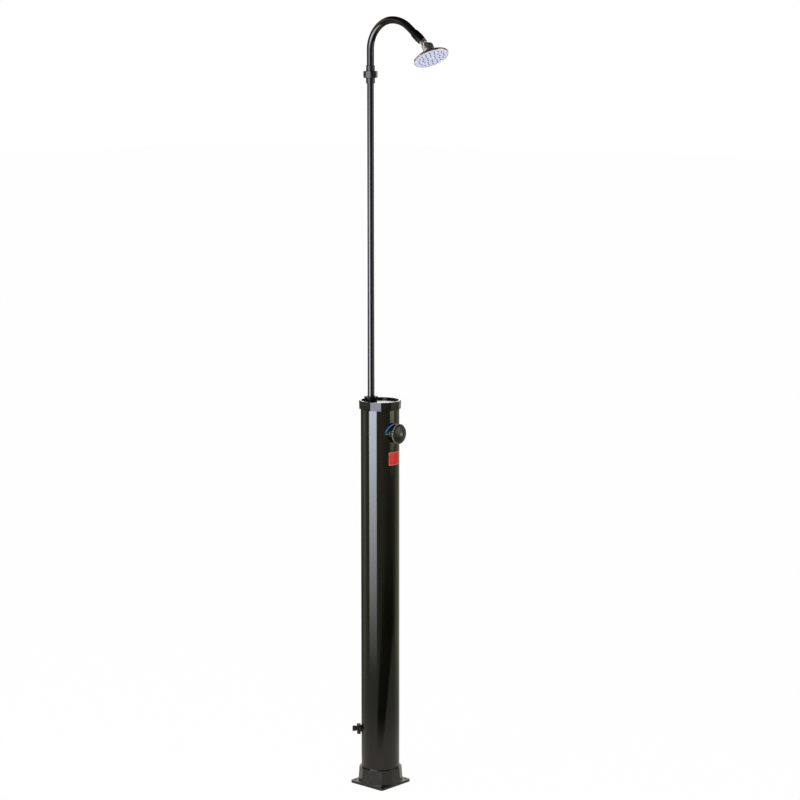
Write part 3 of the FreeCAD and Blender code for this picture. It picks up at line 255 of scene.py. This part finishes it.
def printed_dial():
    """Glossy black ABS plate, screen printed: an arc along its edge from cold blue over the top to
    warm red, and grey marks at the left and at the foot."""
    material, tree = new_material("screen_printed_abs")
    radius, angle = round_the_tap(tree, DIAL_HEIGHT)
    arc = dial_patch(tree, radius, angle, ARC_DEPTHS, ARC_TURN)
    along = add(tree, "Math", {0: angle, 1: -ARC_TURN[0]}, operation="ADD")
    share = add(tree, "Math", {0: along, 1: ARC_TURN[1] - ARC_TURN[0]}, operation="DIVIDE")
    inks = ((0.0, "#0d6296"), (0.3, "#2f7db0"), (0.46, "#86709e"), (0.62, "#b05a78"), (1.0, "#c8202c"))
    ink = add(tree, "ValToRGB", {"Fac": share}, stops=inks)
    side = dial_patch(tree, radius, angle, SIDE_MARK_DEPTHS, SIDE_MARK_TURN)
    foot = dial_patch(tree, radius, angle, FOOT_MARK_DEPTHS, FOOT_MARK_TURN)
    marks = add(tree, "Math", {0: side, 1: foot}, operation="MAXIMUM")
    clouds = add(tree, "TexNoise", {"Vector": place(tree, (120, 120, 120)), "Scale": 1})
    ground = add(tree, "ValToRGB", {"Fac": clouds}, stops=((0.4, "#0c0c08"), (0.7, "#13130e")))
    inked = add(tree, "Mix", {0: arc, 6: ground, 7: ink}, data_type="RGBA").outputs[2]
    marked = add(tree, "Mix", {0: marks, 6: inked, 7: linear("#6c6c64")}, data_type="RGBA").outputs[2]
    rough = add(tree, "ValToRGB", {"Fac": clouds}, stops=((0.4, 0.12), (0.7, 0.2)))
    shader = add(tree, "BsdfPrincipled", {"Base Color": marked, "Roughness": rough, "IOR": 1.54})
    add(tree, "OutputMaterial", {"Surface": shader})
    return material


def satin_face():
    """Moulded ABS face, satin and slightly lavender, with a faint flow pattern from the moulding."""
    material, tree = new_material("satin_lavender_abs")
    flow = add(tree, "TexNoise", {"Vector": place(tree, (70, 70, 70)), "Scale": 1, "Detail": 3})
    tint = add(tree, "ValToRGB", {"Fac": flow}, stops=((0.35, "#cccfea"), (0.7, "#d3d6f0")))
    shader = add(tree, "BsdfPrincipled", {"Base Color": tint, "Roughness": 0.32, "IOR": 1.53})
    add(tree, "OutputMaterial", {"Surface": shader})
    return material


def vinyl_sticker():
    """Red vinyl with a clear gloss film and a fine pale keyline along its edge."""
    material, tree = new_material("laminated_red_vinyl")
    film = add(tree, "SeparateXYZ", {"Vector": add(tree, "UVMap", uv_map="film")})
    from_side = add(tree, "Math", {0: film.outputs["X"], 1: 0.5}, operation="PINGPONG")
    from_foot = add(tree, "Math", {0: film.outputs["Y"], 1: 0.5}, operation="PINGPONG")
    by_side = add(tree, "Math", {0: from_side, 1: KEYLINE_X}, operation="LESS_THAN")
    by_foot = add(tree, "Math", {0: from_foot, 1: KEYLINE_Y}, operation="LESS_THAN")
    edge = add(tree, "Math", {0: by_side, 1: by_foot}, operation="MAXIMUM")
    clouds = add(tree, "TexNoise", {"Vector": place(tree, (90, 90, 90)), "Scale": 1, "Detail": 3})
    red = add(tree, "ValToRGB", {"Fac": clouds}, stops=((0.35, "#b90d17"), (0.7, "#c4121c")))
    tint = add(tree, "Mix", {0: edge, 6: red, 7: linear("#e0908a")}, data_type="RGBA").outputs[2]
    shader = add(tree, "BsdfPrincipled", {"Base Color": tint, "Roughness": 0.22, "IOR": 1.5})
    add(tree, "OutputMaterial", {"Surface": shader})
    return material


def dress(material, *names):
    """Gives one material to CAD nodes."""
    for name in names:
        mesh = NODES[name].data
        mesh.materials.clear()
        mesh.materials.append(material)


# ---- new pieces -----------------------------------------------------------------------------
def grid_mesh(name, points):
    """Mesh from an (n, m, 3) grid of points, with a UV map that runs 0 to 1 both ways."""
    n, m = points.shape[:2]
    index = np.arange(n * m).reshape(n, m)
    corners = (index[:-1, :-1], index[1:, :-1], index[1:, 1:], index[:-1, 1:])
    quads = np.stack(corners, axis=-1).reshape(-1, 4)
    mesh = bpy.data.meshes.new(name)
    mesh.from_pydata(points.reshape(-1, 3), [], quads.tolist())
    uv = np.stack(np.meshgrid(np.linspace(0, 1, n), np.linspace(0, 1, m), indexing="ij"), axis=-1)
    layer = mesh.uv_layers.new(name="film")
    layer.data.foreach_set("uv", uv.reshape(-1, 2)[quads.reshape(-1)].ravel())
    mesh.polygons.foreach_set("use_smooth", np.ones(len(quads), bool))
    mesh.update()
    piece = bpy.data.objects.new(name, mesh)
    bpy.context.scene.collection.objects.link(piece)
    return piece


def sticker():
    """Film wrapped round the tank: (R cos a, R sin a, z), with a between its left and right edge and z
    between its foot and its head."""
    turn = np.linspace(STICKER_LEFT, STICKER_RIGHT, STICKER_COLUMNS)
    rise = np.linspace(STICKER_LOW, STICKER_HIGH, STICKER_ROWS)
    a, z = np.meshgrid(turn, rise, indexing="ij")
    r = TANK_R + STICKER_THICK
    piece = grid_mesh("front_sticker", np.stack([r * np.cos(a), r * np.sin(a), z], axis=-1))
    piece.data.materials.append(vinyl_sticker())
    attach(piece, "post")


# ---- what polished pieces mirror ------------------------------------------------------------
# A grey room with a lit floor and a few lights, as brightness against white paper. They are fitted to
# the bright and dark bands that the tank has in the photograph. A height is the one on the tank at
# which the camera sees that place mirrored. A bearing is in degrees right of the camera.
ROOM_R = 3.0
ROOM_HEIGHT = 4.5
ROOM_ABOVE_FLOOR = 0.0006
FLOOR_HOLE_R, CEILING_HOLE_R = 0.02, 0.05
REACH_STEPS, RISE_STEPS, CEILING_STEPS = 60, 60, 20

# (height, brightness) steps of the floor, walls and ceiling, and of what stands out from them between
# two bearings, with edges that are so many degrees soft
ROOM_SHADE = ((0.12, 0.68), (0.25, 0.38), (0.5, 0.26), (2.3, 0.27), (2.6, 0.18), (3.1, 0.18), (3.7, 0.05))
LEFT_WALL = (-118, -92)
LEFT_WALL_SOFT = 16
LEFT_WALL_SHADE = ((0.2, 0.0), (0.45, 0.27), (1.0, 0.38), (2.2, 0.38), (2.5, 0.0))
RIGHT_WALL = (102, 170)
RIGHT_WALL_SOFT = 25
RIGHT_WALL_SHADE = ((0.2, 0.0), (0.45, 0.28), (0.9, 0.2), (2.2, 0.15), (2.5, 0.0))
DIM_CORNER = (-200, -130)
DIM_CORNER_SOFT = 30
DIM_CORNER_LOSS = 0.65
DIM_CORNER_SHADE = ((0.06, 0.0), (0.1, 1.0))

# a painted shadow on the mirrored floor, right of the camera: how much light it takes by height, and the
# bearings of its two sides and the softness of its edges by height
FLOOR_SHADOW_SHADE = ((0.12, 0.0), (0.22, 0.97), (0.5, 1.0), (1.0, 0.45), (2.3, 0.45), (2.5, 0.0))
FLOOR_SHADOW_LEFT = ((0.25, -17), (0.75, 30))
FLOOR_SHADOW_RIGHT = ((0.12, 10), (0.5, 88))
FLOOR_SHADOW_SOFT = ((0.3, 10), (0.75, 40))

# the lights: a tall box that fades out downwards, a thin one, one behind, a copper screen up high
LIGHT_SOFT = 2
TALL_LIGHT = (-67.1, -20.4)
TALL_SHADE = ((1.7, 11.6), (2.05, 5.0), (2.3, 4.0), (2.5, 0.0))
TALL_FADE = ((0.34, 0.0), (1.12, 1.0))
TALL_FADE_CURVE = 1.3
THIN_LIGHT = (61, 93)
THIN_SHADE = ((0.95, 0.0), (1.12, 2.1), (2.3, 2.1), (2.5, 0.0))
BACK_LIGHT = (140, 220)
BACK_SHADE = ((1.15, 0.0), (1.34, 1.2), (1.55, 2.4), (2.0, 2.2), (2.2, 0.0))
COPPER_SCREEN = (-170, -75)
COPPER_SHADE = ((2.35, 0.0), (2.5, 0.9), (3.2, 0.9), (3.5, 0.0))

# red, green and blue of the room's light from the floor up, of the tall box where its blue has faded
# in by height, and of the copper screen
TINT_HEIGHTS = (0.15, 0.45, 1.3, 1.8)
FLOOR_TINT = (1.0, 0.95, 0.85)
WALL_TINT = (1.0, 1.0, 0.74)
HIGH_TINT = (1.0, 0.94, 0.9)
BLUISH = np.array((0.9, 0.95, 1.12))
BLUE_FADE = ((0.5, 0.0), (1.1, 1.0))
COPPER = np.array((1.0, 0.74, 0.6))


def shade(height, steps):
    """Value by height: straight lines between (height, value) steps."""
    return np.interp(height, *zip(*steps))


def between(bearing, low, high, soft):
    """1 from low to high and 0 outside, with edges that fade over a soft width."""
    return np.clip((bearing - low) / soft + 0.5, 0, 1) * np.clip((high - bearing) / soft + 0.5, 0, 1)


def studio_light(bearing, height):
    """Red, green and blue of the mirrored studio at a bearing and a height. The room is the floor's and
    walls' shade, plus the two walls, less the dim corner and the painted shadow on the floor. The lights
    are added to it."""
    room = shade(height, ROOM_SHADE)
    room = room + shade(height, LEFT_WALL_SHADE) * between(bearing, *LEFT_WALL, LEFT_WALL_SOFT)
    room = room + shade(height, RIGHT_WALL_SHADE) * between(bearing, *RIGHT_WALL, RIGHT_WALL_SOFT)
    corner = between(bearing, *DIM_CORNER, DIM_CORNER_SOFT) * shade(height, DIM_CORNER_SHADE)
    room = room * (1 - DIM_CORNER_LOSS * corner)
    # painted shadow on the mirrored floor, right of the camera
    left, right = shade(height, FLOOR_SHADOW_LEFT), shade(height, FLOOR_SHADOW_RIGHT)
    floor_shadow = shade(height, FLOOR_SHADOW_SHADE) * between(bearing, left, right, shade(height, FLOOR_SHADOW_SOFT))
    room = room * (1 - floor_shadow)
    thin = between(bearing, *THIN_LIGHT, LIGHT_SOFT) * shade(height, THIN_SHADE)
    tall = between(bearing, *TALL_LIGHT, LIGHT_SOFT) * shade(height, TALL_FADE) ** TALL_FADE_CURVE
    tall = tall * shade(height, TALL_SHADE)
    round_the_back = np.where(bearing < BACK_LIGHT[1] - 360, bearing + 360, bearing)
    back = between(round_the_back, *BACK_LIGHT, LIGHT_SOFT) * shade(height, BACK_SHADE)
    copper = between(bearing, *COPPER_SCREEN, LIGHT_SOFT) * shade(height, COPPER_SHADE)
    channels = zip(FLOOR_TINT, WALL_TINT, WALL_TINT, HIGH_TINT)
    tint = np.stack([np.interp(height, TINT_HEIGHTS, channel) for channel in channels], axis=-1)
    tall_tint = 1 + shade(height, BLUE_FADE)[..., None] * (BLUISH - 1)
    colour = (room + thin)[..., None] * tint + tall[..., None] * tall_tint
    return colour + back[..., None] + copper[..., None] * COPPER


def mirrored_room():
    """What shows in polished pieces: a sheet that runs out along the floor, up a round wall and in over
    the ceiling. A camera ray that meets the tank at height t leaves it again at the slope
    (H - t) / D, so it reaches the floor at distance d where t = H d / (D + d), and the wall at height
    h where t = (h D + H R) / (D + R). That t is the height by which the lights are set."""
    reach = np.linspace(FLOOR_HOLE_R, ROOM_R, REACH_STEPS)
    rise = np.linspace(0.0, ROOM_HEIGHT, RISE_STEPS)[1:]
    inwards = np.linspace(ROOM_R, CEILING_HOLE_R, CEILING_STEPS)[1:]
    radius = np.concatenate([reach, np.full_like(rise, ROOM_R), inwards])
    z = np.concatenate([np.full_like(reach, ROOM_ABOVE_FLOOR), rise, np.full_like(inwards, ROOM_HEIGHT)])
    height = (z * CAMERA_AWAY + CAMERA_HEIGHT * radius) / (CAMERA_AWAY + radius)
    turn = np.arange(-180, 180.5, 1.0)
    height, bearing = np.meshgrid(height, turn, indexing="ij")
    colour = studio_light(bearing, height)
    a = np.radians(turn)[None, :]
    x = radius[:, None] * (TO_CAMERA.x * np.cos(a) + TO_RIGHT.x * np.sin(a))
    y = radius[:, None] * (TO_CAMERA.y * np.cos(a) + TO_RIGHT.y * np.sin(a))
    room = grid_mesh("mirrored_room", np.stack([x, y, np.broadcast_to(z[:, None], x.shape)], axis=-1))
    layer = room.data.color_attributes.new("light", "FLOAT_COLOR", "POINT")
    opaque = np.ones_like(colour[..., :1])
    layer.data.foreach_set("color", np.concatenate([colour, opaque], axis=-1).ravel())
    material, tree = new_material("mirrored_studio_light")
    light = add(tree, "Attribute", attribute_name="light").outputs["Color"]
    add(tree, "OutputMaterial", {"Surface": add(tree, "Emission", {"Color": light})})
    room.data.materials.append(material)
    for ray in ("camera", "diffuse", "shadow", "transmission", "volume_scatter"):
        setattr(room, "visible_" + ray, False)


# ---- floor, world, lamps and camera ---------------------------------------------------------
FLOOR_HALF = 40.0
FLOOR_BELOW = 0.0002          # how far it lies under the plate, so that the two don't meet
FLOOR_WHITE_SHARE = 0.975     # how much of the floor that the camera sees is plain white
WORLD_LIGHT = 0.62            # strength of the even light on the object, 1 is white
WHITE = (1, 1, 1, 1)


def paper_floor():
    """White paper sweep. It takes the object's shadow, and the camera sees it nearly white."""
    material, tree = new_material("white_paper_sweep")
    fibres = add(tree, "TexNoise", {"Vector": place(tree, (3, 3, 3)), "Scale": 1})
    tone = add(tree, "ValToRGB", {"Fac": fibres}, stops=((0.3, "#f4f4f3"), (0.7, "#f8f8f7")))
    lit = add(tree, "BsdfDiffuse", {"Color": tone})
    white = add(tree, "Emission", {"Color": WHITE, "Strength": 1})
    seen = add(tree, "LightPath").outputs["Is Camera Ray"]
    share = add(tree, "Math", {0: seen, 1: FLOOR_WHITE_SHARE}, operation="MULTIPLY")
    add(tree, "OutputMaterial", {"Surface": add(tree, "MixShader", {0: share, 1: lit, 2: white})})
    x, y = np.meshgrid([-FLOOR_HALF, FLOOR_HALF], [-FLOOR_HALF, FLOOR_HALF], indexing="ij")
    floor = grid_mesh("floor", np.stack([x, y, np.full_like(x, -FLOOR_BELOW)], axis=-1))
    floor.data.materials.append(material)


def white_world():
    """Even soft light. What looks at it directly or by reflection sees plain white."""
    world = bpy.data.worlds.new("studio")
    bpy.context.scene.world = world
    world.use_nodes = True
    tree = world.node_tree
    tree.nodes.clear()
    ray = add(tree, "LightPath").outputs
    seen = add(tree, "Math", {0: ray["Is Camera Ray"], 1: ray["Is Glossy Ray"]}, operation="MAXIMUM")
    seen = add(tree, "Math", {0: seen, 1: ray["Is Transmission Ray"]}, operation="MAXIMUM")
    plain = add(tree, "Background", {"Color": WHITE, "Strength": WORLD_LIGHT})
    white = add(tree, "Background", {"Color": WHITE, "Strength": 1})
    add(tree, "OutputWorld", {"Surface": add(tree, "MixShader", {0: seen, 1: plain, 2: white})})


def lamp(name, width, height, watts, bearing, away, up, aim):
    """Soft lamp at so many degrees right of the line from the tank to the camera, turned to its aim.
    Polished pieces mirror the room's lights in its place."""
    light = bpy.data.lights.new(name, "AREA")
    light.shape, light.size, light.size_y, light.energy = "RECTANGLE", width, height, watts
    turn = math.radians(bearing)
    piece = bpy.data.objects.new(name, light)
    piece.location = (TO_CAMERA * math.cos(turn) + TO_RIGHT * math.sin(turn)) * away + Vector((0, 0, up))
    piece.rotation_mode = "QUATERNION"
    piece.rotation_quaternion = (Vector(aim) - piece.location).to_track_quat("-Z", "Y")
    piece.visible_glossy = False
    bpy.context.scene.collection.objects.link(piece)


def camera():
    """The photograph's camera."""
    lens = bpy.data.cameras.new("camera")
    lens.sensor_width = SENSOR
    lens.lens = SENSOR * PHOTO_FOCAL / PHOTO_SIDE
    eye = bpy.data.objects.new("camera", lens)
    eye.location = TO_CAMERA * CAMERA_AWAY + TO_RIGHT * CAMERA_ASIDE + Vector((0, 0, CAMERA_HEIGHT))
    look = -TO_CAMERA * math.cos(CAMERA_PITCH) - Vector((0, 0, math.sin(CAMERA_PITCH)))
    eye.rotation_mode = "QUATERNION"
    eye.rotation_quaternion = look.to_track_quat("-Z", "Y")
    bpy.context.scene.collection.objects.link(eye)
    bpy.context.scene.camera = eye


# ---- the post -------------------------------------------------------------------------------
dress(tank_pvc(), "tank_tube", "bottom_plug")
dress(fine_grained("moulded_base_pp", "#131310", "#1a1916", 0.20, 0.27, 0.05), "base_socket")
dress(fine_grained("moulded_cap_pp", "#0b0b0a", "#121210", 0.15, 0.22, 0.05, 1.46), "top_cap", "inlet_nut",
      "inlet_collar", "inlet_body")
# the low last value stands for a face so finely matt that it mirrors less than its plastic would
dress(fine_grained("dull_moulded_pp", "#030303", "#050505", 0.36, 0.46, 0.08, 1.25), "arm_ferrule",
      "riser_nut")
dress(fluted_knob(), "knob")
# the knob cap's pale grey is a painted glint at the middle of the knob
dress(fine_grained("gloss_abs_painted_glint", "#6a6a62", "#74746a", 0.10, 0.16, 0.03), "knob_cap")
dress(lacquered_steel(), "riser_pipe", "arm_pipe")
dress(fine_grained("lacquered_union", "#0b0b0c", "#111112", 0.2, 0.3, 0.04), "union_tail", "union_nut",
      "arm_tail")
dress(chromium_plate("polished_chromium_plate", "#ded8d8", 0.07, 0.17), "ball_stud")
dress(chromium_plate("satin_chromium_plate", "#c4c6c4", 0.26, 0.38), "ball_nut")
dress(chromium_plate("chromium_plated_abs", "#dcd3cf", 0.09, 0.2), "head_shell")
dress(printed_dial(), "dial_plate")
dress(satin_face(), "face_plate")
dress(soft_plain("moulded_blue_silicone", "#141c48", "#1b2456", 0.55, 3), "nozzle_mat")
dress(soft_plain("moulded_black_rubber", "#121212", "#1a1a1a", 0.7, 4), "inlet_gasket", "mixer_gasket",
      "riser_gasket", "riser_olive", "union_gasket", "stud_washer", "face_seal")
dress(soft_plain("drawn_grey_polyethylene", "#9a9da1", "#a7aaad", 0.45, 12), "cold_tube", "hot_tube",
      "outlet_tube")
dress(soft_plain("moulded_white_nylon", "#dedcd2", "#e8e6dd", 0.4, 5), "ball_seat", "cartridge")
dress(turned_metal("turned_brass", "#b08d4a", 0.3), "mixer_body", "mixer_nut", "cartridge_gland",
      "riser_socket")
dress(turned_metal("turned_steel", "#a5a6a8", 0.3), "spindle", "knob_screw", "flow_filter")
sticker()

bpy.context.scene.view_settings.view_transform = "Standard"
paper_floor()
white_world()
lamp("key", width=1.6, height=2.2, watts=60, bearing=-50, away=3.2, up=2.6, aim=(0, 0, 1.1))
lamp("fill", width=1.2, height=1.2, watts=30, bearing=10, away=2.4, up=0.5, aim=(0, -0.2, 2.13))
mirrored_room()
camera()
